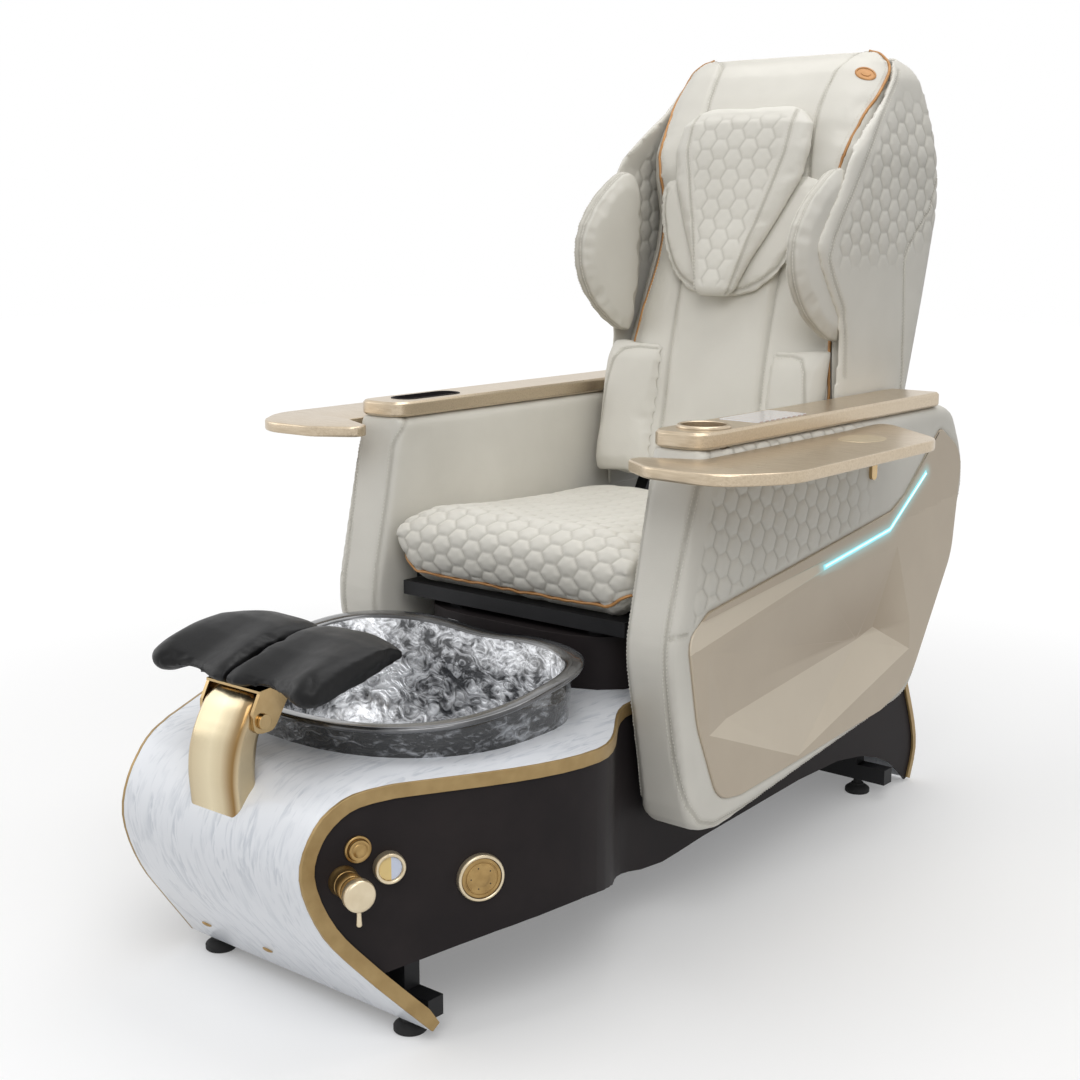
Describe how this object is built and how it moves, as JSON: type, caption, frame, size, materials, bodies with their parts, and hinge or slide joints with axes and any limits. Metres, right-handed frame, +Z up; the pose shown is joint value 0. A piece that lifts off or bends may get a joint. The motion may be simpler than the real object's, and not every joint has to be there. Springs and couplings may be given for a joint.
{
  "type": "pedicure spa chair",
  "caption": "Reclining pedicure spa chair: padded seat between arms with swing trays, slides on a moulded base with a glass foot bath, side controls and a flip-up footrest",
  "frame": {"origin": "on the floor, at the middle of the chair's length and width", "axes": "+Z up, -Y forward (the way the sitter faces), +X to the sitter's left"},
  "size_m": [1.0834, 1.596, 1.428],
  "materials": {
    "leather": "warm cream-grey upholstery leather, semi-matt, part of it quilted in hexagons",
    "champagne": "satin champagne metal",
    "inlay_paint": "satin beige lacquer",
    "light_strip": "frosted diffuser, glows pale cyan",
    "white_shell": "glossy white moulding with faint grey brush marks",
    "gold_trim": "satin antique gold",
    "black_panel": "satin black",
    "black_steel": "black powder coat",
    "black_rubber": "matt black",
    "black_pad": "moulded black polyurethane, fine grain",
    "smoke_glass": "crackled glass with a silvery mottled backing",
    "polished_gold": "polished pale gold",
    "bronze": "antique bronze",
    "bright_steel": "bright steel",
    "grey_plastic": "grey",
    "dial_face": "printed dial under a clear cover",
    "screen_glass": "glossy touch panel, pale"
  },
  "bodies": {
    "base": {"base_shell": "white_shell", "rear_shell": "white_shell", "gold_trim_right": "gold_trim", "gold_trim_left": "gold_trim", "side_skirt_right": "black_panel", "side_skirt_left": "black_panel", "foot_front_right": "black_rubber", "foot_front_left": "black_rubber", "foot_rear_right": "black_rubber", "foot_rear_left": "black_rubber", "base_frame": "black_steel", "tub_bowl": "smoke_glass", "drain_strainer": "bright_steel", "drain_tailpipe": "grey_plastic", "eyelet_right": "bronze", "eyelet_left": "bronze", "button_bezel": "bronze", "thermometer_ring": "polished_gold", "thermometer_face": "dial_face", "mixer_body": "polished_gold", "shower_dock": "polished_gold", "footrest_post": "polished_gold", "footrest_pin": "polished_gold", "seat_plinth": "black_panel", "slide_rail_right": "bright_steel", "slide_rail_left": "bright_steel"},
    "footrest": {"footrest_arm": "polished_gold", "footrest_pad_right": "black_pad", "footrest_pad_left": "black_pad"},
    "air_button": {"air_button": "bronze"},
    "mixer_cartridge": {"mixer_cartridge": "polished_gold"},
    "mixer_handle": {"mixer_handle": "polished_gold"},
    "shower_head": {"shower_head": "bronze"},
    "chair": {"seat_frame": "black_steel", "recline_pin": "bright_steel", "seat_cushion": "leather", "arm_panel_right": "leather", "arm_panel_left": "leather", "arm_inlay_right": "inlay_paint", "arm_inlay_left": "inlay_paint", "arm_light_right": "light_strip", "arm_light_left": "light_strip", "arm_bar_right": "champagne", "arm_bar_left": "champagne", "cup_holder": "polished_gold", "remote_pocket": "black_panel", "control_screen": "screen_glass", "tray_bracket_right": "polished_gold", "tray_bracket_left": "polished_gold"},
    "tray_left": {"tray_left": "champagne"},
    "tray_right": {"tray_right": "champagne"},
    "back": {"back_cushion": "leather", "back_shell": "leather", "back_frame": "black_steel", "shoulder_pad_right": "leather", "shoulder_pad_left": "leather", "lumbar_pad_right": "leather", "lumbar_pad_left": "leather", "neck_pad": "leather"},
    "pillow": {"head_pillow": "leather"}
  },
  "joints": [
    {"name": "chair_slide", "type": "slide", "parent": "base", "child": "chair", "axis": [0, 1, 0], "range_m": [0, 0.12]},
    {"name": "back_recline", "type": "hinge", "parent": "chair", "child": "back", "pos_m": [0, 0.452, 0.545], "axis": [-1, 0, 0], "range_deg": [0, 35]},
    {"name": "pillow_flip", "type": "hinge", "parent": "back", "child": "pillow", "pos_m": [0, 0.55, 1.324], "axis": [-1, 0, 0], "range_deg": [0, 100]},
    {"name": "tray_left_swing", "type": "hinge", "parent": "chair", "child": "tray_left", "pos_m": [0.38, 0.367, 0.765], "axis": [0, 0, 1], "range_deg": [0, 90]},
    {"name": "tray_right_swing", "type": "hinge", "parent": "chair", "child": "tray_right", "pos_m": [-0.38, 0.367, 0.765], "axis": [0, 0, -1], "range_deg": [0, 90]},
    {"name": "footrest_flip", "type": "hinge", "parent": "base", "child": "footrest", "pos_m": [0, -0.738, 0.451], "axis": [1, 0, 0], "range_deg": [0, 72]},
    {"name": "air_button_press", "type": "slide", "parent": "base", "child": "air_button", "axis": [-0.9125, 0.409, 0], "range_m": [0, 0.004], "stiffness_N_per_m": 900},
    {"name": "mixer_turn", "type": "hinge", "parent": "base", "child": "mixer_cartridge", "pos_m": [0.20379, -0.736, 0.261], "axis": [0.9282, -0.3721, 0], "range_deg": [-45, 45]},
    {"name": "mixer_tilt", "type": "hinge", "parent": "mixer_cartridge", "child": "mixer_handle", "pos_m": [0.25113, -0.75498, 0.261], "axis": [-0.3721, -0.9282, 0], "range_deg": [0, 12]},
    {"name": "shower_pull", "type": "slide", "parent": "base", "child": "shower_head", "axis": [0.8818, -0.4716, 0], "range_m": [0, 0.09]}
  ]
}
